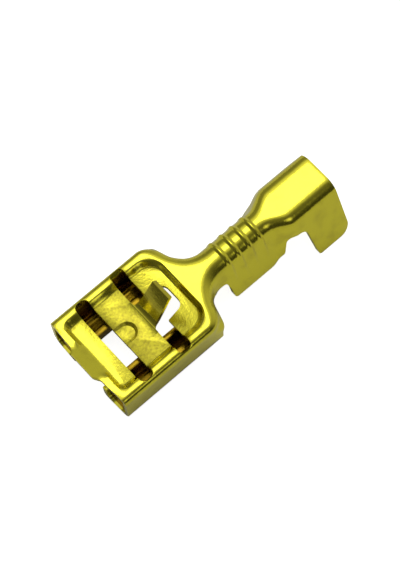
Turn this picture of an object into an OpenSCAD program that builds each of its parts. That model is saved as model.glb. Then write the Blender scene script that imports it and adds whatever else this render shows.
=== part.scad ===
// Female spade terminal: open-barrel crimp receptacle for a flat tab 6.3 mm wide and 0.8 mm thick.
// One folded sheet. +X runs from the mouth to the wire end, +Z is the panel side, millimetres.
// The origin is the middle of the tab slot at the mouth.

/* [Sheet] */
// Thickness of the strip the terminal is folded from
sheet = 0.35; // [0.3:0.01:0.4]

/* [Box] */
// Outside width over the two side walls
box_width = 7.7; // [7.4:0.1:8.2]
// Outside height from the panel to the bottom of the curls
box_height = 3.35; // [3.2:0.05:3.6]
// Length of the side walls and curls from the mouth
box_length = 8.35; // [8.1:0.05:8.5]
// Outside radius of the bends between panel and side walls
box_bend = 0.5; // [0.45:0.05:0.7]
// Outside radius of the curls under the box
curl_radius = 1; // [0.85:0.05:1.1]
// Free width between the two curls
curl_gap = 2.9; // [2.6:0.1:3.2]
// Height of the tab slot between the pressed floor and the curl edges
slot_height = 0.8; // [0.75:0.05:0.95]
// Rounding of the lower front corners in side view
mouth_corner = 0.5; // [0.2:0.05:0.7]
// Rounding of the lower rear corners in side view
wall_corner = 0.6; // [0.3:0.05:0.8]
// How far the front edge falls back from the lip to the side walls
front_sweep = 0.12; // [0:0.02:0.2]

/* [Pressed field] */
// Depth of the pressed floor below the panel
recess_depth = 0.4; // [0.25:0.05:0.5]
// Width of the pressed floor
recess_width = 5.24; // [4.8:0.1:5.6]
// Distance of the floor's front edge from the mouth
recess_front = 0.81; // [0.7:0.05:1]
// Width of the floor left behind the clearance hole
rear_rim = 0.44; // [0.3:0.02:0.5]
// Plan width of the sloping walls around the floor
recess_slope = 0.36; // [0.2:0.04:0.48]
// Corner radius of the floor at the mouth end
recess_front_round = 0.25; // [0.1:0.05:0.5]
// Corner radius of the floor at the wire end
recess_rear_round = 1.05; // [0.8:0.05:1.3]

/* [Windows] */
// Distance of the front window from the mouth
window_start = 1.87; // [1.7:0.05:2.1]
// Width of the front window along the terminal
window_length = 1.04; // [0.8:0.05:1.2]
// Length of the front window across the terminal
window_span = 7.14; // [6.6:0.1:7.2]
// Distance of the rear slots behind the lock tongue's bend
slot_gap = 0.43; // [0.3:0.01:0.6]
// Width of the rear slots along the terminal
rear_slot_length = 1.06; // [0.8:0.05:1.2]
// Length across both rear slots
rear_slot_span = 7.44; // [7:0.1:7.5]
// Corner radius of the window and slot ends
window_round = 0.4; // [0.2:0.05:0.4]
// Width of the clearance hole at the rear slots
hole_front_width = 2.44; // [2.2:0.1:2.7]
// Width of the clearance hole at its rear end
hole_rear_width = 2; // [1.8:0.1:2.1]
// Length of the clearance hole behind the rear slots
hole_length = 1.44; // [1.2:0.02:1.6]
// Corner radius at the rear end of the clearance hole
hole_round = 0.6; // [0.3:0.05:0.8]

/* [Lock tongue] */
// Distance of the tongue's bend behind the detent's round end
bridge_gap = 0.35; // [0.2:0.05:0.6]
// Bend radius on top of the tongue's root
tongue_bend = 1; // [0.6:0.1:1.2]
// Angle of the tongue above the floor
tongue_angle = 54; // [40:1:60]
// Straight length of the tongue after the bend
tongue_length = 2.1; // [1.8:0.1:2.3]
// Width of the tongue just behind its root
tongue_root_width = 1.9; // [1.7:0.1:2.1]
// Width of the tongue at its tip
tongue_tip_width = 1.54; // [1.2:0.1:1.6]
// Radius of the corners between the bridge and the tongue
tongue_fillet = 0.35; // [0.15:0.05:0.5]

/* [Detent] */
// Width of the half-round detent pressed behind the front window
detent_width = 1.44; // [1.2:0.1:1.7]
// Length of the detent behind the front window
detent_length = 1.29; // [1.1:0.03:1.5]
// Depth of the detent at its round end
detent_depth = 0.26; // [0.15:0.01:0.3]

/* [Lip] */
// How far the upper edge of the flared lip stands out in front of the mouth
lip_reach = 0.34; // [0.2:0.02:0.5]
// Height of the lip's upper edge above the panel
lip_rise = 0.25; // [0.1:0.05:0.4]
// Width of the lip at its root
lip_root_width = 2.8; // [2.4:0.1:3]
// Width of the lip at its front edge
lip_tip_width = 2.1; // [1.6:0.1:2.3]

/* [Neck] */
// Length of the box over which its panel already narrows
neck_lead = 0.85; // [0.7:0.05:0.95]
// Distance from the start of the narrowing to the conductor wings
neck_length = 3.55; // [3.3:0.05:3.9]
// How far the box corners carry on before the neck turns in
neck_shoulder = 0.85; // [0.8:0.02:0.9]
// Distance of the tightest turn of the neck behind its start
neck_waist = 0.5; // [0.4:0.05:0.6]
// Extra bend radius where the box corners are drawn round
corner_swell = 0.25; // [0.1:0.05:0.3]
// Distance of the neck flange's shallowest point behind the side walls
flange_gap = 0.6; // [0.5:0.05:0.8]
// Depth of the flange at its shallowest point, from the panel
flange_depth = 0.75; // [0.6:0.05:1]
// Depth of the flange just before the conductor wings
flange_rear_depth = 1.8; // [1.5:0.1:2]

/* [Conductor barrel] */
// Length of the conductor wings
conductor_length = 4.45; // [4.2:0.05:4.8]
// Outside radius of the round bottom of the conductor barrel
conductor_bend = 1.12; // [1:0.02:1.2]
// Depth of the conductor wings from the panel
conductor_depth = 3.55; // [3.2:0.05:3.8]
// Outward lean of the conductor wings from upright
conductor_flare = 20; // [10:1:22]
// Depth of the round seat coined into the inside of the conductor barrel
seat_depth = 0.02; // [0.02:0.01:0.05]
// Length of the slanted rear end of the conductor wings
chamfer_length = 1; // [0.6:0.1:1.4]
// Drop of the slanted rear end of the conductor wings
chamfer_drop = 0.45; // [0.3:0.05:0.6]
// Distance of the first serration behind the front edge of the wings
serration_lead = 0.57; // [0.45:0.02:0.65]
// Spacing of the serrations
serration_pitch = 0.92; // [0.85:0.01:0.94]
// Number of serrations across the conductor barrel
serration_count = 4; // [2:1:4]
// Width of one serration
serration_width = 0.26; // [0.16:0.02:0.36]
// Height of one serration out of the barrel
serration_height = 0.05; // [0.03:0.01:0.08]
// How far each serration runs down the wings, from the panel
serration_reach = 2.2; // [1.6:0.1:2.6]

/* [Insulation barrel] */
// Length of the conductor wings over which the sheet already widens
step_lead = 0.6; // [0.4:0.05:0.7]
// Length over which the sheet widens to the insulation barrel
step_length = 1.95; // [1.7:0.05:2.2]
// Length of the insulation wings
insulation_length = 3.1; // [2.7:0.05:3.6]
// Half width of the flat bottom of the insulation barrel
insulation_flat = 0.75; // [0.65:0.05:0.9]
// Outside radius of the bends of the insulation barrel
insulation_bend = 1.1; // [0.9:0.05:1.2]
// Outward lean of the insulation wings from upright
insulation_flare = 20; // [10:1:24]
// Length of the relief notch between the two pairs of wings
relief_length = 1.85; // [1.75:0.05:2.2]
// Depth of the insulation wings from the panel
insulation_depth = 4.67; // [4.3:0.05:5]
// How far the front edge of the insulation wings slants back
insulation_slant = 0.3; // [0:0.05:0.6]
// Corner radius at the rear of the insulation wings
insulation_round = 0.85; // [0.4:0.05:1]
// Depth of the relief notch's top between the two pairs of wings, from the panel
relief_depth = 1.68; // [1.5:0.02:1.9]

/* [Hidden] */
$fn = 64;

// Steps of a rounded corner in an outline and of a bend in a lofted sheet
corner_steps = 8;
bend_steps = 9;
// Rings of the lofted neck and of the lofted step between the barrels
neck_rings = 22;
step_rings = 10;
// Overshoot of cutting bodies past the faces they cut
over = 1;
// Small corner radii of the wing and flange outlines
wing_round = 0.3;
notch_round = 0.22;
relief_round = 0.45;
// Length of the barrel left plain at each end of the strand seat
seat_margin = 0.25;
// Reach of the straight conductor barrel in front of its wings
wing_clearance = 0.1;
// Run of the flange edge behind its shallowest point, and its share of the full depth there
flange_run = 0.8;
flange_share = 0.8;
// Height over which the flange edge turns down into the front edge of the conductor wings
wing_turn = 0.8;
wing_turn_lead = 0.2;
// Lean of the wall's rear edge and of the conductor wings' rear edge, along the terminal
wall_lean = 0.1;
chamfer_lean = 0.45;

half_width = box_width / 2;
box_flat = half_width - box_bend;
floor_under = recess_depth + sheet;
// Height of the panel's outer face above the middle of the tab slot
panel_height = floor_under + slot_height / 2;
curl_edge = floor_under + slot_height;
curl_inner = curl_gap / 2;
recess_half = recess_width / 2;
detent_half = detent_width / 2;
window_end = window_start + window_length;
detent_end = window_end + detent_length;
tongue_start = detent_end + bridge_gap;
rear_slot_start = tongue_start + slot_gap;
rear_slot_end = rear_slot_start + rear_slot_length;
hole_rear = rear_slot_end + hole_length;
recess_rear = hole_rear + rear_rim;
// Places along the neck and the barrels
neck_start = box_length - neck_lead;
flange_low = box_length + flange_gap;
conductor_start = neck_start + neck_length;
serration_start = conductor_start + serration_lead;
conductor_end = conductor_start + conductor_length;
barrel_step = conductor_end - step_lead;
insulation_step = barrel_step + step_length;
insulation_start = conductor_end + relief_length;
terminal_length = insulation_start + insulation_length;
lip_angle = atan((recess_depth + lip_rise) / (recess_front + lip_reach));
// Growth of the pressed field's under side around its upper side, for an even sheet
press_growth = sheet * (norm([recess_depth, recess_slope]) - recess_slope) / recess_depth;
neck_end = conductor_start + wing_clearance;
box_wall_depth = box_height - curl_radius;
neck_curve = [
    [neck_start, box_flat],
    [neck_start + neck_shoulder, box_flat],
    [neck_start + neck_waist, 0],
    [neck_end, 0]
];

brass = [0.83, 0.76, 0.2];

// Value between a and b at share k
function mix(a, b, k) = a + (b - a) * k;

// Share k eased at both ends
function ease(k) = k * k * (3 - 2 * k);

function unit(v) = v / norm(v);

function shortest(a) = a > 180 ? a - 360 : a < -180 ? a + 360 : a;

// Arc of radius r that rounds the corner q between the points p and s
function corner(p, q, s, r) =
    let (a = unit([p[0] - q[0], p[1] - q[1]]),
         b = unit([s[0] - q[0], s[1] - q[1]]),
         half = acos(a * b) / 2,
         centre = [q[0], q[1]] + unit(a + b) * r / sin(half),
         first = [q[0], q[1]] + a * r / tan(half) - centre,
         last = [q[0], q[1]] + b * r / tan(half) - centre,
         from = atan2(first[1], first[0]),
         turn = shortest(atan2(last[1], last[0]) - from))
    [for (i = [0 : corner_steps])
        let (angle = from + turn * i / corner_steps)
        centre + r * [cos(angle), sin(angle)]];

// Outline through corners given as x, y, radius
function outline(corners) =
    let (n = len(corners))
    [for (i = [0 : n - 1])
        let (q = corners[i])
        for (p = q[2] == 0
            ? [[q[0], q[1]]]
            : corner(corners[(i + n - 1) % n], q, corners[(i + 1) % n], q[2])) p];

// Left half of a symmetric outline mirrored onto the right, in order
function mirrored(side) =
    concat(side, [for (i = [len(side) - 1 : -1 : 0]) [side[i][0], -side[i][1], side[i][2]]]);

// Floor outline of the pressed field, grown by the given amount
function field_outline(growth) =
    let (half = recess_half + growth,
         front = recess_front - growth,
         rear = recess_rear + growth)
    outline([
        [front, -half, recess_front_round + growth],
        [rear, -half, recess_rear_round + growth],
        [rear, half, recess_rear_round + growth],
        [front, half, recess_front_round + growth]
    ]);

// Point on a cubic curve with four control points
function cubic(c, k) =
    c[0] * pow(1 - k, 3) + c[1] * 3 * k * pow(1 - k, 2) + c[2] * 3 * k * k * (1 - k) + c[3] * pow(k, 3);

// Direction of that curve, as a unit vector
function heading(c, k) =
    unit((c[1] - c[0]) * pow(1 - k, 2) + (c[2] - c[1]) * 2 * k * (1 - k) + (c[3] - c[2]) * k * k);

// One face of a folded side: bend of the given radius, then a wing down to the given depth.
// The bend starts at the plan point base and turns towards the plan direction out.
function folded(base, out, drop, radius, flare, depth) =
    let (last = 90 - flare,
         tip = radius * cos(last) - drop,
         run = (depth + tip) / cos(flare))
    concat(
        [for (i = [0 : bend_steps])
            let (angle = last * i / bend_steps)
            [base[0] + out[0] * radius * sin(angle),
             base[1] + out[1] * radius * sin(angle),
             radius * cos(angle) - drop]],
        [[base[0] + out[0] * (radius * sin(last) + run * sin(flare)),
          base[1] + out[1] * (radius * sin(last) + run * sin(flare)),
          -depth]]);

function backwards(list) = [for (i = [len(list) - 1 : -1 : 0]) list[i]];

function other_side(list) = [for (p = list) [p[0], -p[1], p[2]]];

// Closed ring of the folded sheet at one station
function sheet_ring(base, out, bend, flare, depth) =
    let (outer = folded(base, out, bend, bend, flare, depth),
         inner = folded(base, out, bend, bend - sheet, flare, depth))
    concat(backwards(outer), other_side(outer), backwards(other_side(inner)), inner);

// Triangles that close a ring whose second half runs back along its first half
function cap(n, start) =
    [for (i = [0 : n / 2 - 2], face = [[i, i + 1, n - 2 - i], [i, n - 2 - i, n - 1 - i]])
        [start + face[0], start + face[1], start + face[2]]];

function turned(face) = [face[2], face[1], face[0]];

function distinct(points, face) =
    points[face[0]] != points[face[1]] &&
    points[face[1]] != points[face[2]] &&
    points[face[2]] != points[face[0]];

// Solid skin over closed rings of equal length
module skin(rings) {
    n = len(rings[0]);
    m = len(rings);
    points = [for (ring = rings) for (p = ring) p];
    sides = [for (i = [0 : m - 2], j = [0 : n - 1])
        let (a = i * n + j,
             b = i * n + (j + 1) % n)
        for (face = [[a, a + n, b + n], [a, b + n, b]]) face];
    ends = concat(cap(n, 0), [for (face = cap(n, (m - 1) * n)) turned(face)]);
    polyhedron(points, [for (face = concat(sides, ends)) if (distinct(points, face)) face]);
}

// Section drawn in Y and Z, run along X
module along(from, to) {
    translate([from, 0, 0])
        rotate([90, 0, 90])
            linear_extrude(to - from)
                children();
}

// Outline drawn in X and Z, run across the given width
module across(width) {
    translate([0, width / 2, 0])
        rotate([90, 0, 0])
            linear_extrude(width)
                children();
}

// Outline drawn in X and Y, run from one height up to another
module upright(from, to) {
    translate([0, 0, from])
        linear_extrude(to - from)
            children();
}

// Filled trough with a flat bottom, two bends and two leaning wings
module trough(flat, drop, radius, flare, depth) {
    start = [flat + radius * cos(flare), radius * sin(flare) - drop];
    run = (depth + start[1]) / cos(flare);
    tip = start + run * [sin(flare), -cos(flare)];
    for (side = [-1, 1])
        translate([side * flat, -drop])
            circle(radius);
    polygon([
        [-flat, radius - drop],
        [flat, radius - drop],
        start,
        tip,
        [-tip[0], tip[1]],
        [-start[0], start[1]]
    ]);
}

// Section of the folded sheet; raise lifts both faces outwards
module folded_section(flat, bend, flare, depth, raise = 0) {
    difference() {
        trough(flat, bend, bend + raise, flare, depth);
        trough(flat, bend, bend - sheet + raise, flare, depth + over);
    }
}

// One curl filled, drawn in by inset and reaching up to the given height
module curl_fill(inset, top) {
    radius = curl_radius - inset;
    outer = half_width - curl_radius;
    inner = curl_inner + curl_radius;
    level = curl_radius - box_height;
    for (y = [inner, outer])
        translate([y, level])
            circle(radius);
    translate([inner - radius, level])
        square([outer - inner + 2 * radius, top - level]);
    translate([inner, level - radius])
        square([outer - inner, radius]);
}

// Section of both curls, cut edges up
module curl_section() {
    for (side = [0, 1])
        mirror([side, 0])
            difference() {
                curl_fill(0, -curl_edge);
                curl_fill(sheet, -curl_edge + over);
            }
}

// Rings of the panel and flanges drawn together from the box to the conductor barrel
function neck_sections() =
    [for (i = [0 : neck_rings])
        let (k = i / neck_rings,
             way = heading(neck_curve, k),
             swell = k < 0.5 ? corner_swell * pow(sin(360 * k), 2) : 0)
        sheet_ring(
            cubic(neck_curve, k),
            [-way[1], way[0]],
            mix(box_bend, conductor_bend, ease(k)) + swell,
            conductor_flare * ease(k),
            mix(box_wall_depth, conductor_depth + over, ease(k)))];

// Rings of the sheet widening from the conductor barrel to the insulation barrel
function barrel_sections() =
    [for (i = [0 : step_rings])
        let (k = ease(i / step_rings))
        sheet_ring(
            [mix(barrel_step, insulation_step, i / step_rings), insulation_flat * k],
            [0, 1],
            mix(conductor_bend, insulation_bend, k),
            mix(conductor_flare, insulation_flare, k),
            mix(conductor_depth, insulation_depth, k) + over)];

// The whole sheet folded down at both sides, from the mouth to the wire end
module folded_strip() {
    mouth = sheet_ring([-over, box_flat], [0, 1], box_bend, 0, box_wall_depth);
    wire_end = sheet_ring(
        [terminal_length + over, insulation_flat],
        [0, 1],
        insulation_bend,
        insulation_flare,
        insulation_depth + over);
    skin(concat([mouth], neck_sections(), barrel_sections(), [wire_end]));
}

// Both curls, cut edges up, that guide the tab
module curls() {
    along(-over, box_length + over)
        curl_section();
}

// Shallow bands pressed out across the conductor barrel
module serrations() {
    for (i = [0 : serration_count - 1]) {
        middle = serration_start + i * serration_pitch;
        along(middle - serration_width / 2, middle + serration_width / 2)
            folded_section(0, conductor_bend, conductor_flare, serration_reach, serration_height);
    }
}

// Round seat of the strands, coined into the inside of the conductor barrel
module strand_seat() {
    seat_length = barrel_step - conductor_start - 2 * seat_margin;
    translate([conductor_start + seat_margin, 0, -conductor_bend])
        rotate([0, 90, 0])
            cylinder(h = seat_length, r = conductor_bend - sheet + seat_depth);
}

// Everything that stays of the folded sheet in side view
module side_outline() {
    polygon(outline([
        [0, over, 0],
        [0, -box_height, mouth_corner],
        [box_length, -box_height, wall_corner],
        [box_length + wall_lean, -flange_rear_depth, 0],
        [flange_low, -flange_depth, notch_round],
        [flange_low + flange_run, -flange_rear_depth * flange_share, wing_round],
        [conductor_start - wing_turn_lead, -flange_rear_depth, wing_round],
        [conductor_start, -flange_rear_depth - wing_turn, notch_round],
        [conductor_start, -conductor_depth, wing_round],
        [conductor_end - chamfer_length, -conductor_depth, wing_round],
        [conductor_end, chamfer_drop - conductor_depth, notch_round],
        [conductor_end + chamfer_lean, -relief_depth, relief_round],
        [insulation_start, -relief_depth, relief_round],
        [insulation_start + insulation_slant, -insulation_depth, notch_round],
        [terminal_length, -insulation_depth, insulation_round],
        [terminal_length, over, 0]
    ]));
}

// Body of the pressed field: its floor outline grown, lofted up to the panel
module pressed_field(growth, bottom, shoulder, top) {
    levels = [[bottom, growth], [shoulder, growth + recess_slope], [top, growth + recess_slope]];
    skin([for (level = levels)
        [for (p = field_outline(level[1])) [p[0], p[1], level[0]]]]);
}

// Opening punched through panel and floor that ends on the bends of the side walls
module punched(start, length, span) {
    lean = asin(max(0, span / 2 - box_flat) / box_bend);
    reach = 2 * box_bend;
    end = start + length;
    intersection() {
        upright(-panel_height, over)
            polygon(outline(mirrored([
                [end, span / 2, window_round],
                [start, span / 2, window_round]
            ])));
        along(start - over, end + over)
            polygon([
                [-box_flat, -panel_height - over],
                [box_flat, -panel_height - over],
                [box_flat, -box_bend],
                [box_flat + reach * sin(lean), reach * cos(lean) - box_bend],
                [-box_flat - reach * sin(lean), reach * cos(lean) - box_bend],
                [-box_flat, -box_bend]
            ]);
    }
}

// Clearance hole behind the lock tongue
module clearance_hole() {
    upright(-panel_height, over)
        polygon(outline(mirrored([
            [hole_rear, hole_rear_width / 2, hole_round],
            [rear_slot_end, hole_front_width / 2, 0],
            [rear_slot_end - over / 2, hole_front_width / 2, 0]
        ])));
}

// Arc of the tongue's bend at a radius around its centre
function sweep_down(centre, radius) =
    [for (i = [0 : bend_steps])
        let (angle = tongue_angle * i / bend_steps)
        centre + radius * [sin(angle), -cos(angle)]];

// Tongue lanced out of the floor and bent up over the clearance hole
module lock_tongue() {
    centre = [tongue_start, tongue_bend - recess_depth];
    under = tongue_bend + sheet;
    way = [cos(tongue_angle), sin(tongue_angle)];
    upper_end = centre + tongue_bend * [sin(tongue_angle), -cos(tongue_angle)];
    lower_end = centre + under * [sin(tongue_angle), -cos(tongue_angle)];
    tip = lower_end[0] + tongue_length * way[0];
    intersection() {
        across(box_width)
            polygon(concat(
                [[tongue_start - sheet, -recess_depth], [tongue_start - sheet, -floor_under]],
                sweep_down(centre, under),
                [lower_end + tongue_length * way, upper_end + tongue_length * way],
                backwards(sweep_down(centre, tongue_bend))));
        upright(-box_height, box_height)
            polygon(outline(mirrored([
                [tip, tongue_tip_width / 2, 0],
                [rear_slot_start, tongue_root_width / 2, tongue_fillet],
                [rear_slot_start, tongue_root_width, 0],
                [tongue_start - over, tongue_root_width, 0]
            ])));
    }
}

// Depth line of the detent's ramp at a distance from the mouth
function ramp(x) = -recess_depth - detent_depth * (x - window_end) / (detent_end - window_end);

// Plan of the detent, grown by the given amount
module detent_plan(from, growth) {
    middle = detent_end - detent_half;
    translate([middle, 0])
        circle(detent_half + growth);
    translate([from, -detent_half - growth])
        square([middle - from, detent_width + 2 * growth]);
}

// Hollow of the detent above its ramp
module detent_hollow() {
    far = detent_end + over;
    near = window_end - over / 2;
    intersection() {
        upright(-panel_height, 0)
            detent_plan(near, 0);
        across(box_width)
            polygon([
                [near, ramp(near)],
                [far, ramp(far)],
                [far, over],
                [near, over]
            ]);
    }
}

// Sheet pressed down around the detent
module detent_shell() {
    far = detent_end + over;
    intersection() {
        upright(-panel_height, -recess_depth - sheet / 2)
            detent_plan(window_end, sheet / 2);
        across(box_width)
            polygon([
                [window_end, ramp(window_end) - sheet],
                [far, ramp(far) - sheet],
                [far, 0],
                [window_end, 0]
            ]);
    }
}

// Flared lip that leads the tab in, rising from the pressed floor through the mouth
module lip() {
    foot = recess_front + sheet;
    tip = [-lip_reach, lip_rise];
    down = sheet * [-sin(lip_angle), -cos(lip_angle)];
    intersection() {
        across(box_width)
            polygon([
                [foot, -recess_depth],
                [recess_front, -recess_depth],
                tip,
                tip + down,
                [recess_front - sheet * tan(lip_angle / 2), -floor_under],
                [foot, -floor_under]
            ]);
        upright(-box_height, box_height)
            polygon(outline(mirrored([
                [foot, lip_root_width / 2, 0],
                [-lip_reach / 4, lip_root_width / 2, lip_reach / 2],
                [-lip_reach - sheet, lip_tip_width / 2, 0]
            ])));
    }
}

// Room in the panel's front strip that the lip takes up
module lip_room() {
    upright(-floor_under - over, over)
        polygon([
            [-over, -lip_root_width / 2],
            [recess_front, -lip_root_width / 2],
            [recess_front, lip_root_width / 2],
            [-over, lip_root_width / 2]
        ]);
}

// Wedges that set the front edge back towards the side walls
module front_wedges() {
    outside = half_width + over;
    for (side = [0, 1])
        mirror([0, side, 0])
            upright(-box_height - over, over)
                polygon([
                    [-2 * over, lip_root_width / 2],
                    [0, lip_root_width / 2],
                    [front_sweep, half_width],
                    [front_sweep, outside],
                    [-2 * over, outside]
                ]);
}

// The folded sheet cut to its side outline
module folded_sheet() {
    intersection() {
        union() {
            folded_strip();
            curls();
            serrations();
        }
        across(2 * box_width)
            side_outline();
    }
    pressed_field(press_growth, -floor_under, -sheet, -sheet / 2);
    detent_shell();
}

module terminal() {
    color(brass)
        translate([0, 0, panel_height]) {
            difference() {
                folded_sheet();
                pressed_field(0, -recess_depth, 0, over);
                front_wedges();
                lip_room();
                punched(window_start, window_length, window_span);
                punched(rear_slot_start, rear_slot_length, rear_slot_span);
                clearance_hole();
                detent_hollow();
                strand_seat();
            }
            lip();
            lock_tongue();
        }
}

terminal();
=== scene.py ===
"""Female spade terminal folded from brass strip, lying on a white table.

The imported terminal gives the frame. The sheet is folded again here in finer steps, with pressed
serrations and broken cut edges, and finished as rolled and pressed brass.
"""

import math

import bmesh
import bpy
from mathutils import Matrix, Vector


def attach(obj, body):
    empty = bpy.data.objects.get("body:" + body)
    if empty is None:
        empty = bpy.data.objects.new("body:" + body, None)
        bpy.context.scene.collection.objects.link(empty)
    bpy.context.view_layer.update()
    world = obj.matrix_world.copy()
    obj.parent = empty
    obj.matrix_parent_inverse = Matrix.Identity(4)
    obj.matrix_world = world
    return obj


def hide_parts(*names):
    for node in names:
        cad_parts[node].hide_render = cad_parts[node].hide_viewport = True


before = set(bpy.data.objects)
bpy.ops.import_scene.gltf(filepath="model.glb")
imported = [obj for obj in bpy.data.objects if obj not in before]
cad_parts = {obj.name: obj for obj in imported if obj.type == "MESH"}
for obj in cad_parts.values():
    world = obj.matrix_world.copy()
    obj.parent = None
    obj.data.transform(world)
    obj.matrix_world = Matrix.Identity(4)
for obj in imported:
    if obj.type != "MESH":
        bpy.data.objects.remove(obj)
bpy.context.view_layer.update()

MM = 0.001

# Sheet and box, in millimetres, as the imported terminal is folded
SHEET = 0.35
HALF_WIDTH = 3.85
BOX_HEIGHT = 3.35
BOX_LENGTH = 8.35
BOX_BEND = 0.5
BOX_FLAT = HALF_WIDTH - BOX_BEND
CURL_RADIUS = 1.0
CURL_INNER = 1.45
SLOT_HEIGHT = 0.8
WALL_DEPTH = BOX_HEIGHT - CURL_RADIUS
MOUTH_CORNER = 0.5
WALL_CORNER = 0.6
FRONT_SWEEP = 0.12

# Pressed floor
RECESS_DEPTH = 0.4
RECESS_HALF = 2.62
RECESS_FRONT = 0.81
RECESS_REAR = 7.92
FRONT_ROUND = 0.25
REAR_ROUND = 1.05
SIDE_SLOPE = 0.55
END_SLOPE = 0.36
WALL_SOFTNESS = 0.6
FLOOR_UNDER = RECESS_DEPTH + SHEET
PANEL_HEIGHT = FLOOR_UNDER + SLOT_HEIGHT / 2
CURL_EDGE = FLOOR_UNDER + SLOT_HEIGHT

# Windows, clearance hole, detent and tongue
WINDOW = (1.87, 2.91, 3.57)
REAR_SLOT = (4.98, 6.04, 3.72)
WINDOW_ROUND = 0.4
HOLE_REAR = 7.48
HOLE_FRONT_HALF = 1.22
HOLE_REAR_HALF = 1.0
HOLE_ROUND = 0.6
DETENT_HALF = 0.72
DETENT_END = 4.2
DETENT_DEPTH = 0.34
DETENT_SLOPE = 0.2
DETENT_ENTRY = 0.1
TONGUE_START = 4.55
TONGUE_BEND = 1.0
TONGUE_ANGLE = 54.0
TONGUE_LENGTH = 2.1
TONGUE_ROOT_HALF = 0.95
TONGUE_TIP_HALF = 0.77
TONGUE_FILLET = 0.35
TONGUE_SHOULDER = 1.4
TONGUE_NECK_RUN = 0.6
TONGUE_NARROWING = 0.06
TONGUE_SWEEP = 2.0

# Lip
LIP_REACH = 0.34
LIP_RISE = 0.25
LIP_TIP_HALF = 1.0
LIP_ROOT_HALF = 1.4
LIP_SHOULDER = 0.6
LIP_BLEND = 0.75
FRONT_STRIP_HALF = RECESS_HALF - 0.4
FRONT_STRIP_REAR = RECESS_FRONT + 0.25
ROOM_BELOW = 0.1

# Neck
NECK_START = 7.5
NECK_SHOULDER = 0.85
NECK_WAIST = 0.5
CORNER_SWELL = 0.2
WALL_HOLD_TOP = 0.5
WALL_HOLD_RUN = 0.9
# From this share of the neck on, the wing leaves the plane of the side wall, over the next share
WALL_HOLD_FULL = 0.1
WALL_HOLD_FADE = 0.42
CURL_JOINT = 0.06
FLANGE_LOW = 8.95
FLANGE_DEPTH = 0.75
FLANGE_REAR_DEPTH = 1.8
FLANGE_RUN = 0.8
FLANGE_SHARE = 0.8
FLANGE_TURN = 0.2
WALL_LEAN = 0.1

# Barrels
CONDUCTOR_START = 11.05
CONDUCTOR_END = 15.5
CONDUCTOR_BEND = 1.12
CONDUCTOR_DEPTH = 3.55
WING_FLARE = 20.0
CHAMFER_LENGTH = 1.0
CHAMFER_DROP = 0.45
SERRATIONS = {
    "Start": 11.62,
    "Pitch": 0.92,
    "Count": 4.0,
    "Half Width": 0.25,
    "Height": 0.12,
    "Full Depth": 0.6,
    "Reach": 2.5,
    "Axis Depth": 1.12,
    "Lean": 0.364,
}
BARREL_STEP = 14.9
INSULATION_STEP = 16.85
TERMINAL_LENGTH = 20.45
INSULATION_FLAT = 0.75
INSULATION_BEND = 1.1
INSULATION_START = 17.35
INSULATION_DEPTH = 4.67
INSULATION_SLANT = 0.3
INSULATION_ROUND = 0.85
RELIEF_DEPTH = 1.68
RELIEF_LEAN = 0.45
WING_CORNER = 0.3
TIP_CORNER = 0.22
CHAMFER_CORNER = 0.9
CHAMFER_END_CORNER = 0.4
RELIEF_CORNER = 0.6
NECK_END = CONDUCTOR_START + 0.1

# How fine the folded sheet is, and how its cut edges are broken
BEND_STEPS = 16
WING_STEPS = 8
CORNER_STEPS = 10
NECK_RINGS = 48
BARREL_RINGS = 120
STEP_RINGS = 24
FRONT_STEPS = (56, 14)
FIELD_STEPS = 9
BOX_RINGS = 17
INSULATION_RINGS = 11
OVER = 1.0
SAME_PLACE = 1e-6
NO_LENGTH = 1e-7
CUT_MERGE = 1e-4
EDGE_ROUND = 0.03
EDGE_ANGLE = 32.0


# ---- Curves and outlines --------------------------------------------------------------------


def mix(a, b, k):
    return a + (b - a) * k


def ease(k):
    return k * k * (3 - 2 * k)


def rounded(corners, steps=CORNER_STEPS):
    """Outline through corners given as x, y, radius."""
    points = []
    for i, (x, y, radius) in enumerate(corners):
        here = Vector((x, y))
        if radius == 0:
            points.append(here)
            continue
        before = Vector(corners[i - 1][:2])
        after = Vector(corners[(i + 1) % len(corners)][:2])
        a = (before - here).normalized()
        b = (after - here).normalized()
        half = a.angle(b) / 2
        centre = here + (a + b).normalized() * radius / math.sin(half)
        first = here + a * radius / math.tan(half) - centre
        turn = first.angle_signed(here + b * radius / math.tan(half) - centre)
        for step in range(steps + 1):
            angle = -turn * step / steps
            points.append(centre + Matrix.Rotation(angle, 2) @ first)
    return points


def mirrored(side):
    """A right half given as x, y, radius, closed by its mirror image."""
    return side + [(x, -y, radius) for x, y, radius in reversed(side)]


# ---- Solids -----------------------------------------------------------------------------------


def solid(name, points, faces):
    """A closed mesh in millimetres, outward facing, with doubled corners merged."""
    mesh = bpy.data.meshes.new(name)
    mesh.from_pydata([tuple(p) for p in points], [], faces)
    work = bmesh.new()
    work.from_mesh(mesh)
    bmesh.ops.remove_doubles(work, verts=work.verts, dist=SAME_PLACE)
    bmesh.ops.dissolve_degenerate(work, edges=work.edges, dist=NO_LENGTH)
    bmesh.ops.recalc_face_normals(work, faces=work.faces)
    work.to_mesh(mesh)
    work.free()
    made = bpy.data.objects.new(name, mesh)
    bpy.context.scene.collection.objects.link(made)
    return made


def loft(name, rings, strip_caps=False):
    """Skin over rings of equal length; strip caps suit a ring that runs back along itself."""
    n = len(rings[0])
    points = [p for ring in rings for p in ring]
    faces = []
    for i in range(len(rings) - 1):
        for j in range(n):
            a, b = i * n + j, i * n + (j + 1) % n
            faces.append((a, b, b + n, a + n))
    for start in (0, (len(rings) - 1) * n):
        if strip_caps:
            last = start + n - 1
            faces += [(start + j, start + j + 1, last - 1 - j, last - j) for j in range(n // 2 - 1)]
        else:
            faces.append(tuple(range(start, start + n)))
    return solid(name, points, faces)


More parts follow.
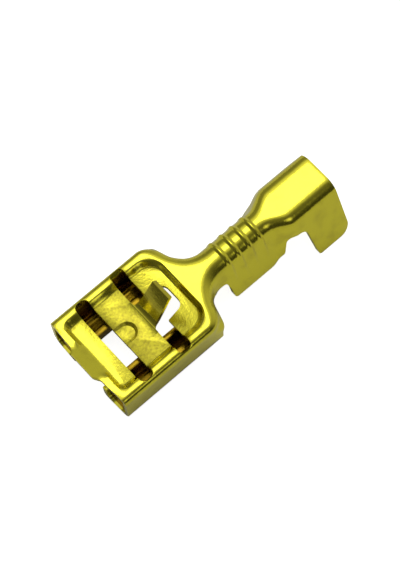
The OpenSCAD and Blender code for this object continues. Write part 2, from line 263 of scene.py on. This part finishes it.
def prism(name, outline, plane, low, high):
    """An outline in the XY, XZ or YZ plane, run along the third axis."""
    place = {
        "XY": lambda p, t: (p[0], p[1], t),
        "XZ": lambda p, t: (p[0], t, p[1]),
        "YZ": lambda p, t: (t, p[0], p[1]),
    }[plane]
    return loft(name, [[place(p, t) for p in outline] for t in (low, high)])


def combine(base, other, operation):
    """Boolean of two solids; the second is used up."""
    modifier = base.modifiers.new("cut", "BOOLEAN")
    modifier.operation = operation
    modifier.object = other
    modifier.solver = "MANIFOLD"
    graph = bpy.context.evaluated_depsgraph_get()
    result = bpy.data.meshes.new_from_object(base.evaluated_get(graph))
    base.modifiers.clear()
    base.data = result
    bpy.data.objects.remove(other)
    return base


def add(base, *others):
    for other in others:
        combine(base, other, "UNION")
    return base


def cut(base, *others):
    for other in others:
        combine(base, other, "DIFFERENCE")
    return base


def keep(base, other):
    return combine(base, other, "INTERSECT")


# ---- The folded strip -------------------------------------------------------------------------


def folded(base, out, drop, radius, flare, depth, hold=0.0):
    """One face of a folded side: bend, then a wing down to the given depth.

    hold keeps the wing's lower part in the plane of the box's side wall.
    """
    last = math.radians(90 - flare)
    lean = math.radians(flare)
    run = (depth + radius * math.cos(last) - drop) / math.cos(lean)
    wall = HALF_WIDTH - (drop - radius)
    points = []
    for i in range(BEND_STEPS + 1):
        angle = last * i / BEND_STEPS
        reach = radius * math.sin(angle)
        across = min(wall, base[1] + out[1] * reach)
        points.append((base[0] + out[0] * reach, across, radius * math.cos(angle) - drop))
    for i in range(1, WING_STEPS + 1):
        down = run * i / WING_STEPS
        reach = radius * math.sin(last) + down * math.sin(lean)
        height = radius * math.cos(last) - drop - down * math.cos(lean)
        held = hold * ease(min(1, max(0, (-height - WALL_HOLD_TOP) / WALL_HOLD_RUN)))
        across = min(wall, base[1] + out[1] * reach)
        points.append((base[0] + out[0] * reach, mix(across, wall, held), height))
    return points


def sheet_ring(base, out, bend, flare, depth, hold=0.0):
    outer = folded(base, out, bend, bend, flare, depth, hold)
    inner = folded(base, out, bend, bend - SHEET, flare, depth, hold)
    flip = [(x, -y, z) for x, y, z in outer]
    flip_inner = [(x, -y, z) for x, y, z in inner]
    return outer[::-1] + flip + flip_inner[::-1] + inner


def neck_rings():
    """The panel and flanges drawn together from the box to the conductor barrel."""
    control = [
        Vector((NECK_START, BOX_FLAT)),
        Vector((NECK_START + NECK_SHOULDER, BOX_FLAT)),
        Vector((NECK_START + NECK_WAIST, 0)),
        Vector((NECK_END, 0)),
    ]
    rings = []
    for i in range(NECK_RINGS + 1):
        k = i / NECK_RINGS
        shares = [(1 - k) ** 3, 3 * k * (1 - k) ** 2, 3 * k * k * (1 - k), k**3]
        base = sum((c * share for c, share in zip(control, shares)), Vector((0, 0)))
        legs = [control[j + 1] - control[j] for j in range(3)]
        way = (legs[0] * (1 - k) ** 2 + legs[1] * 2 * k * (1 - k) + legs[2] * k * k).normalized()
        swell = CORNER_SWELL * math.sin(2 * math.pi * k) ** 2 if k < 0.5 else 0
        rings.append(
            sheet_ring(
                base,
                (-way.y, way.x),
                mix(BOX_BEND, CONDUCTOR_BEND, ease(k)) + swell,
                WING_FLARE * ease(k),
                mix(WALL_DEPTH, CONDUCTOR_DEPTH + OVER, ease(k)),
                1 - ease(min(1, max(0, (k - WALL_HOLD_FULL) / WALL_HOLD_FADE))),
            )
        )
    return rings


def barrel_rings():
    """The straight conductor barrel, its widening, and the insulation barrel."""
    rings = []
    for i in range(1, BARREL_RINGS):
        x = mix(NECK_END, BARREL_STEP, i / BARREL_RINGS)
        rings.append(sheet_ring((x, 0), (0, 1), CONDUCTOR_BEND, WING_FLARE, CONDUCTOR_DEPTH + OVER))
    for i in range(STEP_RINGS + 1):
        k = ease(i / STEP_RINGS)
        rings.append(
            sheet_ring(
                (mix(BARREL_STEP, INSULATION_STEP, i / STEP_RINGS), INSULATION_FLAT * k),
                (0, 1),
                mix(CONDUCTOR_BEND, INSULATION_BEND, k),
                WING_FLARE,
                mix(CONDUCTOR_DEPTH, INSULATION_DEPTH, k) + OVER,
            )
        )
    for i in range(1, INSULATION_RINGS + 1):
        base = (mix(INSULATION_STEP, TERMINAL_LENGTH + OVER, i / INSULATION_RINGS), INSULATION_FLAT)
        rings.append(sheet_ring(base, (0, 1), INSULATION_BEND, WING_FLARE, INSULATION_DEPTH + OVER))
    return rings


def folded_strip():
    box = []
    for i in range(BOX_RINGS):
        x = mix(-OVER, NECK_START, i / BOX_RINGS)
        box.append(sheet_ring((x, BOX_FLAT), (0, 1), BOX_BEND, 0, WALL_DEPTH, 1))
    return loft("terminal_skin", box + neck_rings() + barrel_rings(), strip_caps=True)


def curl(side):
    """One side wall's curl: from the wall round under the box and up to its cut edge."""
    level = CURL_RADIUS - BOX_HEIGHT
    outer_y = HALF_WIDTH - CURL_RADIUS
    inner_y = CURL_INNER + CURL_RADIUS

    def face(radius):
        bottom = [(outer_y + radius, level + CURL_JOINT)]
        for centre, first in ((outer_y, 0), (inner_y, -90)):
            for i in range(BEND_STEPS + 1):
                angle = math.radians(first - 90 * i / BEND_STEPS)
                bottom.append((centre + radius * math.cos(angle), level + radius * math.sin(angle)))
        bottom.append((inner_y - radius, -CURL_EDGE))
        return bottom

    ring = face(CURL_RADIUS) + face(CURL_RADIUS - SHEET)[::-1]
    ring = [(side * y, z) for y, z in ring]
    rings = [[(x, y, z) for y, z in ring] for x in (-OVER, BOX_LENGTH + OVER)]
    return loft("curl", rings, strip_caps=True)


def side_cut():
    """Everything that stays of the folded sheet in side view."""
    outline = rounded(
        [
            (0, OVER, 0),
            (0, -BOX_HEIGHT, MOUTH_CORNER),
            (BOX_LENGTH, -BOX_HEIGHT, WALL_CORNER),
            (BOX_LENGTH + WALL_LEAN, -FLANGE_REAR_DEPTH, 0),
            (FLANGE_LOW, -FLANGE_DEPTH, TIP_CORNER),
            (FLANGE_LOW + FLANGE_RUN, -FLANGE_REAR_DEPTH * FLANGE_SHARE, WING_CORNER),
            (CONDUCTOR_START - FLANGE_TURN, -FLANGE_REAR_DEPTH, WING_CORNER),
            (CONDUCTOR_START, -FLANGE_REAR_DEPTH - FLANGE_RUN, TIP_CORNER),
            (CONDUCTOR_START, -CONDUCTOR_DEPTH, WING_CORNER),
            (CONDUCTOR_END - CHAMFER_LENGTH, -CONDUCTOR_DEPTH, CHAMFER_CORNER),
            (CONDUCTOR_END, CHAMFER_DROP - CONDUCTOR_DEPTH, CHAMFER_END_CORNER),
            (CONDUCTOR_END + RELIEF_LEAN, -RELIEF_DEPTH, RELIEF_CORNER),
            (INSULATION_START, -RELIEF_DEPTH, RELIEF_CORNER),
            (INSULATION_START + INSULATION_SLANT, -INSULATION_DEPTH, TIP_CORNER),
            (TERMINAL_LENGTH, -INSULATION_DEPTH, INSULATION_ROUND),
            (TERMINAL_LENGTH, OVER, 0),
        ]
    )
    return prism("side cut", outline, "XZ", -HALF_WIDTH * 2, HALF_WIDTH * 2)


# ---- Pressed floor, openings, detent, tongue and lip --------------------------------------------


def field_ring(share, height):
    """Outline of the pressed floor, grown by a share of its walls' plan width."""
    side = RECESS_HALF + SIDE_SLOPE * share
    front = RECESS_FRONT - END_SLOPE * share
    rear = RECESS_REAR + END_SLOPE * share
    growth = END_SLOPE * share
    corners = [
        (front, -side, FRONT_ROUND + growth),
        (rear, -side, REAR_ROUND + growth),
        (rear, side, REAR_ROUND + growth),
        (front, side, FRONT_ROUND + growth),
    ]
    return [(p[0], p[1], height) for p in rounded(corners)]


def pressed_field(name, drop, top):
    """Body of the pressed field: an S-shaped wall from the floor up to the panel."""
    rings = []
    for i in range(FIELD_STEPS + 1):
        share = i / FIELD_STEPS
        rise = RECESS_DEPTH * mix(share, ease(share), WALL_SOFTNESS)
        rings.append(field_ring(share, -RECESS_DEPTH - drop + rise))
    rings.append(field_ring(1, top))
    return loft(name, rings)


def opening(name, start, end, half_span):
    outline = rounded(mirrored([(end, half_span, WINDOW_ROUND), (start, half_span, WINDOW_ROUND)]))
    cutter = prism(name, outline, "XY", -PANEL_HEIGHT, OVER)
    lean = math.asin(max(0.0, half_span - BOX_FLAT) / BOX_BEND)
    reach = 2 * BOX_BEND
    section = [
        (-BOX_FLAT, -PANEL_HEIGHT - OVER),
        (BOX_FLAT, -PANEL_HEIGHT - OVER),
        (BOX_FLAT, -BOX_BEND),
        (BOX_FLAT + reach * math.sin(lean), reach * math.cos(lean) - BOX_BEND),
        (-BOX_FLAT - reach * math.sin(lean), reach * math.cos(lean) - BOX_BEND),
        (-BOX_FLAT, -BOX_BEND),
    ]
    return keep(cutter, prism("opening room", section, "YZ", start - OVER, end + OVER))


def clearance_hole():
    front = REAR_SLOT[1]
    outline = rounded(
        mirrored(
            [
                (HOLE_REAR, HOLE_REAR_HALF, HOLE_ROUND),
                (front, HOLE_FRONT_HALF, 0),
                (front - OVER / 2, HOLE_FRONT_HALF, 0),
            ]
        )
    )
    return prism("clearance hole", outline, "XY", -PANEL_HEIGHT, OVER)


def detent(name, growth, drop, top):
    """Half-round pocket that deepens from the front window to its sloping round end."""
    start, middle = WINDOW[1] - OVER / 2, DETENT_END - DETENT_HALF

    def plan(half):
        points = [(start, half), (start, -half)]
        for i in range(2 * BEND_STEPS + 1):
            angle = math.radians(-90 + 90 * i / BEND_STEPS)
            points.append((middle + half * math.cos(angle), half * math.sin(angle)))
        return points

    def ramp(x):
        share = max(DETENT_ENTRY, (x - WINDOW[1]) / (DETENT_END - WINDOW[1]))
        return -RECESS_DEPTH - DETENT_DEPTH * share - drop

    outer = DETENT_HALF + growth
    rings = [[(x, y, ramp(x)) for x, y in plan(outer - DETENT_SLOPE)]]
    rings += [[(x, y, z) for x, y in plan(outer)] for z in (-RECESS_DEPTH - drop, top)]
    return loft(name, rings)


def lock_tongue():
    centre = (TONGUE_START, TONGUE_BEND - RECESS_DEPTH)
    last = math.radians(TONGUE_ANGLE)

    def face(radius):
        line = [(TONGUE_START - SHEET, centre[1] - radius)]
        for i in range(BEND_STEPS + 1):
            angle = last * i / BEND_STEPS
            line.append((centre[0] + radius * math.sin(angle), centre[1] - radius * math.cos(angle)))
        x, z = line[-1]
        return line + [(x + TONGUE_LENGTH * math.cos(last), z + TONGUE_LENGTH * math.sin(last))]

    outline = face(TONGUE_BEND + SHEET) + face(TONGUE_BEND)[::-1]
    bent = prism("tongue", outline, "XZ", -HALF_WIDTH, HALF_WIDTH)
    tip = max(p[0] for p in outline)
    plan = rounded(
        mirrored(
            [
                (tip + SHEET, TONGUE_TIP_HALF, 0),
                (REAR_SLOT[0] + TONGUE_NECK_RUN, TONGUE_ROOT_HALF - TONGUE_NARROWING, TONGUE_SWEEP),
                (REAR_SLOT[0], TONGUE_ROOT_HALF, TONGUE_FILLET),
                (REAR_SLOT[0], TONGUE_SHOULDER, 0),
                (TONGUE_START - OVER, TONGUE_SHOULDER, 0),
            ]
        )
    )
    return keep(bent, prism("tongue plan", plan, "XY", -BOX_HEIGHT, BOX_HEIGHT))


def front_height(x, y):
    """Upper face of the mouth's strip: the panel's rim at the sides, the flared lip in the middle."""
    rim = -RECESS_DEPTH * ease(min(1, max(0, (x - RECESS_FRONT + END_SLOPE) / END_SLOPE)))
    slope = (RECESS_DEPTH + LIP_RISE) / (RECESS_FRONT + LIP_REACH)
    flared = -RECESS_DEPTH + slope * max(0, RECESS_FRONT - x)
    side = ease(min(1, max(0, (abs(y) - LIP_TIP_HALF) / LIP_BLEND)))
    return mix(flared, rim, side)


def front_edge(y):
    """Distance of the strip's cut edge from the mouth, across the terminal."""
    side = ease(min(1, max(0, (abs(y) - LIP_TIP_HALF) / LIP_SHOULDER)))
    return -LIP_REACH * (1 - side)


def front_strip():
    """The mouth's strip with its lip, as a sheet of even height."""
    across, deep = FRONT_STEPS
    rings = []
    for i in range(across + 1):
        y = mix(-FRONT_STRIP_HALF, FRONT_STRIP_HALF, i / across)
        line = [mix(front_edge(y), FRONT_STRIP_REAR, j / deep) for j in range(deep + 1)]
        top = [(x, y, front_height(x, y)) for x in line]
        bottom = [(x, y, front_height(x, y) - SHEET) for x in line]
        rings.append(top + bottom[::-1])
    return loft("front_strip", rings, strip_caps=True)


def front_room():
    half, rear = FRONT_STRIP_HALF, FRONT_STRIP_REAR
    outline = [(-OVER, -half), (rear, -half), (rear, half), (-OVER, half)]
    return prism("front_room", outline, "XY", -FLOOR_UNDER - ROOM_BELOW, OVER)


def front_wedge(side):
    outside = HALF_WIDTH + OVER
    outline = [
        (-2 * OVER, LIP_ROOT_HALF),
        (0, LIP_ROOT_HALF),
        (FRONT_SWEEP, HALF_WIDTH),
        (FRONT_SWEEP, outside),
        (-2 * OVER, outside),
    ]
    return prism("front wedge", [(x, side * y) for x, y in outline], "XY", -BOX_HEIGHT - OVER, OVER)


def break_edges(piece):
    """Rounds the cut edges a little, so that they catch the light."""
    work = bmesh.new()
    work.from_mesh(piece.data)
    bmesh.ops.remove_doubles(work, verts=work.verts, dist=CUT_MERGE)
    bmesh.ops.dissolve_degenerate(work, edges=work.edges, dist=CUT_MERGE)
    work.to_mesh(piece.data)
    work.free()
    bevel = piece.modifiers.new("broken edges", "BEVEL")
    bevel.width = EDGE_ROUND
    bevel.segments = 2
    bevel.limit_method = "ANGLE"
    bevel.angle_limit = math.radians(EDGE_ANGLE)
    level = piece.modifiers.new("level faces", "WEIGHTED_NORMAL")
    level.keep_sharp = True
    level.weight = 100
    graph = bpy.context.evaluated_depsgraph_get()
    result = bpy.data.meshes.new_from_object(piece.evaluated_get(graph))
    piece.modifiers.clear()
    piece.data = result


def build_terminal(material):
    piece = press_serrations(folded_strip(), serration_tree(material))
    add(piece, curl(1), curl(-1))
    keep(piece, side_cut())
    floor_under = pressed_field("floor under", SHEET, -SHEET / 2)
    detent_under = detent("detent under", SHEET / 2, SHEET, -RECESS_DEPTH - SHEET / 2)
    add(piece, floor_under, detent_under)
    cut(piece, pressed_field("floor top", 0, OVER), front_wedge(1), front_wedge(-1), front_room())
    cut(piece, opening("front window", *WINDOW), opening("rear slots", *REAR_SLOT), clearance_hole())
    cut(piece, detent("detent top", 0, 0, OVER))
    add(piece, front_strip(), lock_tongue())
    break_edges(piece)
    mesh = piece.data
    mesh.transform(Matrix.Scale(MM, 4) @ Matrix.Translation((0, 0, PANEL_HEIGHT)))
    mesh.materials.clear()
    mesh.materials.append(material)
    mesh.shade_smooth()
    mesh.set_sharp_from_angle(angle=math.radians(EDGE_ANGLE))
    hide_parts("terminal")
    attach(piece, "root")
    return piece


# ---- Shader expressions -------------------------------------------------------------------


class Wire:
    """A socket in a node tree; arithmetic on it adds Math nodes."""

    def __init__(self, tree, socket):
        self.tree = tree
        self.socket = socket

    def node(self, kind, settings=None, **inputs):
        return add_node(self.tree, kind, settings, **inputs)

    def math(self, operation, *values):
        node = self.tree.nodes.new("ShaderNodeMath")
        node.operation = operation
        for slot, value in zip(node.inputs, values):
            plug(self.tree, slot, value)
        return Wire(self.tree, node.outputs[0])

    def __add__(self, other):
        return self.math("ADD", self, other)

    __radd__ = __add__

    def __sub__(self, other):
        return self.math("SUBTRACT", self, other)

    def __rsub__(self, other):
        return self.math("SUBTRACT", other, self)

    def __mul__(self, other):
        return self.math("MULTIPLY", self, other)

    __rmul__ = __mul__

    def __truediv__(self, other):
        return self.math("DIVIDE", self, other)

    def __gt__(self, other):
        return self.math("GREATER_THAN", self, other)

    def __lt__(self, other):
        return self.math("LESS_THAN", self, other)

    def smooth(self, low, high):
        """0 below low, 1 above high, smooth between."""
        return add_node(
            self.tree,
            "ShaderNodeMapRange",
            {"interpolation_type": "SMOOTHSTEP"},
            **{"Value": self, "From Min": low, "From Max": high},
        )


def plug(tree, slot, value):
    if isinstance(value, Wire):
        tree.links.new(value.socket, slot)
    else:
        slot.default_value = value


def add_node(tree, kind, settings=None, **inputs):
    """Adds a node, sets its settings first and then its inputs; returns its first output."""
    node = tree.nodes.new(kind)
    for name, value in (settings or {}).items():
        setattr(node, name, value)
    for name, value in inputs.items():
        plug(tree, node.inputs[name], value)
    return Wire(tree, node.outputs[0])


def separate(tree, vector):
    node = tree.nodes.new("ShaderNodeSeparateXYZ")
    plug(tree, node.inputs[0], vector)
    return [Wire(tree, output) for output in node.outputs]


def object_place(tree):
    return Wire(tree, tree.nodes.new("ShaderNodeTexCoord").outputs["Object"])


def blend_colour(tree, factor, first, second):
    node = tree.nodes.new("ShaderNodeMix")
    node.data_type = "RGBA"
    plug(tree, node.inputs["Factor"], factor)
    plug(tree, node.inputs["A"], first)
    plug(tree, node.inputs["B"], second)
    return Wire(tree, node.outputs["Result"])


def new_material(name):
    material = bpy.data.materials.new(name)
    material.use_nodes = True
    tree = material.node_tree
    return material, tree, tree.nodes["Principled BSDF"]


# ---- Pressed bands --------------------------------------------------------------------------


def serration_tree(material):
    """Pushes the sheet outward in evenly pitched bands that fade down the wings."""
    tree = bpy.data.node_groups.new("serrations", "GeometryNodeTree")
    tree.interface.new_socket("Geometry", in_out="INPUT", socket_type="NodeSocketGeometry")
    tree.interface.new_socket("Geometry", in_out="OUTPUT", socket_type="NodeSocketGeometry")
    for name in SERRATIONS:
        tree.interface.new_socket(name, in_out="INPUT", socket_type="NodeSocketFloat")
    entry = tree.nodes.new("NodeGroupInput")
    size = {name: Wire(tree, entry.outputs[name]) for name in SERRATIONS}
    x, y, z = separate(tree, Wire(tree, tree.nodes.new("GeometryNodeInputPosition").outputs[0]))
    steps = (x - size["Start"]) / size["Pitch"]
    low = x.math("MAXIMUM", x.math("ROUND", steps), 0.0)
    nearest = x.math("MINIMUM", low, size["Count"] - 1)
    away = x.math("ABSOLUTE", (steps - nearest) * size["Pitch"] / size["Half Width"])
    lift = (1 - away.smooth(0.0, 1.0)) * (1 - (0 - z).smooth(size["Full Depth"], size["Reach"]))
    rise = x.math("MAXIMUM", z + size["Axis Depth"], y.math("ABSOLUTE", y) * size["Lean"])
    outward = add_node(tree, "ShaderNodeCombineXYZ", None, X=0.0, Y=y, Z=rise)
    length = x.math("SQRT", y * y + rise * rise)
    share = lift * size["Height"] / length
    offset = add_node(tree, "ShaderNodeVectorMath", {"operation": "SCALE"}, Vector=outward, Scale=share)
    sheet = Wire(tree, entry.outputs["Geometry"])
    moved = add_node(tree, "GeometryNodeSetPosition", None, Geometry=sheet, Offset=offset)
    whole = add_node(tree, "GeometryNodeRealizeInstances", None, Geometry=moved)
    finished = add_node(tree, "GeometryNodeSetMaterial", None, Geometry=whole, Material=material)
    leave = tree.nodes.new("NodeGroupOutput")
    plug(tree, leave.inputs["Geometry"], finished)
    return tree


def press_serrations(piece, tree):
    modifier = piece.modifiers.new("serrations", "NODES")
    modifier.node_group = tree
    for item in tree.interface.items_tree:
        if item.name in SERRATIONS:
            modifier[item.identifier] = SERRATIONS[item.name]
    graph = bpy.context.evaluated_depsgraph_get()
    result = bpy.data.meshes.new_from_object(piece.evaluated_get(graph))
    piece.modifiers.clear()
    piece.data = result
    return piece


# ---- Finishes -------------------------------------------------------------------------------


BRIGHT_BRASS = (0.87, 0.79, 0.06, 1.0)
# duller brass: the mottled tone of the metal, and also painted shade on the tongue
DULL_BRASS = (0.58, 0.50, 0.05, 1.0)
# dark brown painted shade for the hollow inside the box
SHADED_HOLLOW_BRASS = (0.28, 0.18, 0.01, 1.0)
GRAIN_SCALE = 6000.0
CLOUD_SCALE = 800.0
BUMP_STRENGTH = 0.45
BUMP_HEIGHT = 0.03 * MM


def brass_finish():
    """Bright strip with a fine grain; the pressed floor's bridge is duller and mottled. The hollow
    inside the box is painted dark brown and the tongue duller, both as painted shade.
    """
    material, tree, shader = new_material("rolled brass strip")
    place = object_place(tree)
    x, y, z = [part / MM for part in separate(tree, place)]
    floor_top = PANEL_HEIGHT - RECESS_DEPTH
    across = y.math("ABSOLUTE", y)
    inside = (across < HALF_WIDTH - 0.1) * (x < RECESS_REAR)
    pressed = inside * (across < RECESS_HALF + 0.05) * (z < floor_top + 0.06) * (z > floor_top - SHEET)
    bridge = pressed * x.smooth(2.6, 3.0) * (1 - x.smooth(5.0, 6.2))
    # painted shade: the hollow inside the box, under the pressed floor, is coloured dark brown
    hollow_shade = inside * (z < floor_top - SHEET) * (x > 0.25)
    grain = add_node(tree, "ShaderNodeTexNoise", None, Vector=place, Scale=GRAIN_SCALE, Detail=3.0)
    cloud = add_node(tree, "ShaderNodeTexNoise", None, Vector=place, Scale=CLOUD_SCALE, Detail=4.0)
    # painted shade: the lifted tongue is coloured duller brass
    tongue = inside * (z > floor_top + 0.1) * (across < TONGUE_ROOT_HALF) * (x > REAR_SLOT[0])
    height = grain * (pressed * 0.8 + 0.35) + cloud
    bump = tree.nodes.new("ShaderNodeBump")
    bump.inputs["Strength"].default_value = BUMP_STRENGTH
    bump.inputs["Distance"].default_value = BUMP_HEIGHT
    plug(tree, bump.inputs["Height"], height)
    # random mottling and the bridge's grain are the metal's own tone; the tongue's share is painted
    # shade
    wear_and_tongue_shade = cloud.smooth(0.45, 0.75) * 0.5 + bridge * grain.smooth(0.3, 0.8) + tongue * 0.7
    skin = blend_colour(tree, wear_and_tongue_shade, BRIGHT_BRASS, DULL_BRASS)
    plug(tree, shader.inputs["Base Color"], blend_colour(tree, hollow_shade, skin, SHADED_HOLLOW_BRASS))
    shader.inputs["Metallic"].default_value = 1.0
    plug(tree, shader.inputs["Roughness"], cloud * 0.1 + 0.13 + pressed * 0.08 + bridge * 0.14)
    tree.links.new(bump.outputs["Normal"], shader.inputs["Normal"])
    return material


# ---- Stage ----------------------------------------------------------------------------------

# The table touches the box's lower front edge and the front tips of the insulation wings
FRONT_REST = (MOUTH_CORNER, PANEL_HEIGHT - BOX_HEIGHT)
REAR_REST = (INSULATION_START + INSULATION_SLANT, PANEL_HEIGHT - INSULATION_DEPTH)
TABLE_SIZE = 400.0


def table_finish():
    """Plain matt white; to the eye it is lit up to the background's white and keeps a faint shadow."""
    material, tree, shader = new_material("white table")
    shader.inputs["Base Color"].default_value = (0.9, 0.9, 0.9, 1.0)
    shader.inputs["Roughness"].default_value = 1.0
    shader.inputs["Specular IOR Level"].default_value = 0.0
    lit = tree.nodes.new("ShaderNodeEmission")
    lit.inputs["Strength"].default_value = 0.9
    both = tree.nodes.new("ShaderNodeAddShader")
    tree.links.new(shader.outputs[0], both.inputs[0])
    tree.links.new(lit.outputs[0], both.inputs[1])
    path = tree.nodes.new("ShaderNodeLightPath")
    choice = tree.nodes.new("ShaderNodeMixShader")
    tree.links.new(path.outputs["Is Camera Ray"], choice.inputs["Fac"])
    tree.links.new(shader.outputs[0], choice.inputs[1])
    tree.links.new(both.outputs[0], choice.inputs[2])
    tree.links.new(choice.outputs[0], tree.nodes["Material Output"].inputs["Surface"])
    return material


def build_table(material):
    slope = (REAR_REST[1] - FRONT_REST[1]) / (REAR_REST[0] - FRONT_REST[0])
    far = TABLE_SIZE
    corners = [(-far, -far), (far, -far), (far, far), (-far, far)]
    heights = [FRONT_REST[1] + slope * (x - FRONT_REST[0]) for x, y in corners]
    places = [(x * MM, y * MM, z * MM) for (x, y), z in zip(corners, heights)]
    mesh = bpy.data.meshes.new("table")
    mesh.from_pydata(places, [], [(0, 1, 2, 3)])
    mesh.materials.append(material)
    table = bpy.data.objects.new("table", mesh)
    bpy.context.scene.collection.objects.link(table)


def build_world():
    """Bright overhead, darker towards the horizon; the eye sees plain white."""
    world = bpy.data.worlds.new("soft studio")
    bpy.context.scene.world = world
    world.use_nodes = True
    tree = world.node_tree
    tree.nodes.clear()
    direction = Wire(tree, tree.nodes.new("ShaderNodeTexCoord").outputs["Generated"])
    x, y, z = separate(tree, direction)
    glow = (x * 0.19 + y * 0.33 + z * 0.92).smooth(0.72, 0.985)
    shade = (y.smooth(-0.95, -0.1) * 0.8 + 0.2) * (x.smooth(-1.0, -0.2) * 0.5 + 0.5)
    strip = (z * 0.62 - y * 0.78).smooth(0.965, 0.995)
    sky = shade * (x.smooth(0.3, 1.0) * 0.25 + 0.2) + glow * 0.66 + strip * 0.9
    path = tree.nodes.new("ShaderNodeLightPath")
    seen = Wire(tree, path.outputs["Is Camera Ray"])
    level = seen + (1 - seen) * sky
    background = tree.nodes.new("ShaderNodeBackground")
    background.inputs["Color"].default_value = (1.0, 1.0, 1.0, 1.0)
    plug(tree, background.inputs["Strength"], level)
    output = tree.nodes.new("ShaderNodeOutputWorld")
    tree.links.new(background.outputs[0], output.inputs["Surface"])


def add_lamp(name, place, aim, size, power):
    light = bpy.data.lights.new(name, "AREA")
    light.shape = "DISK"
    light.size = size
    light.energy = power
    lamp = bpy.data.objects.new(name, light)
    lamp.location = place
    lamp.rotation_euler = (Vector(aim) - Vector(place)).to_track_quat("-Z", "Y").to_euler()
    bpy.context.scene.collection.objects.link(lamp)


def build_camera():
    """Looks down on the panel from the mouth's side, a little rolled."""
    eye = Vector((-18.19, -42.77, 126.63)) * MM
    aim = Vector((9.09, -0.90, 1.15)) * MM
    roll = math.radians(8.85)
    data = bpy.data.cameras.new("camera")
    data.lens = 129.94
    data.sensor_width = 36.0
    data.clip_start = 0.01
    camera = bpy.data.objects.new("camera", data)
    upright = (aim - eye).to_track_quat("-Z", "Y").to_matrix().to_4x4()
    camera.matrix_world = Matrix.Translation(eye) @ upright @ Matrix.Rotation(-roll, 4, "Z")
    bpy.context.scene.collection.objects.link(camera)
    bpy.context.scene.camera = camera


def main():
    build_terminal(brass_finish())
    build_table(table_finish())
    build_world()
    add_lamp("overhead softbox", (0.05, 0.06, 0.22), (0.01, 0.0, 0.0), 0.12, 0.06)
    build_camera()
    scene = bpy.context.scene
    scene.view_settings.view_transform = "Standard"


main()
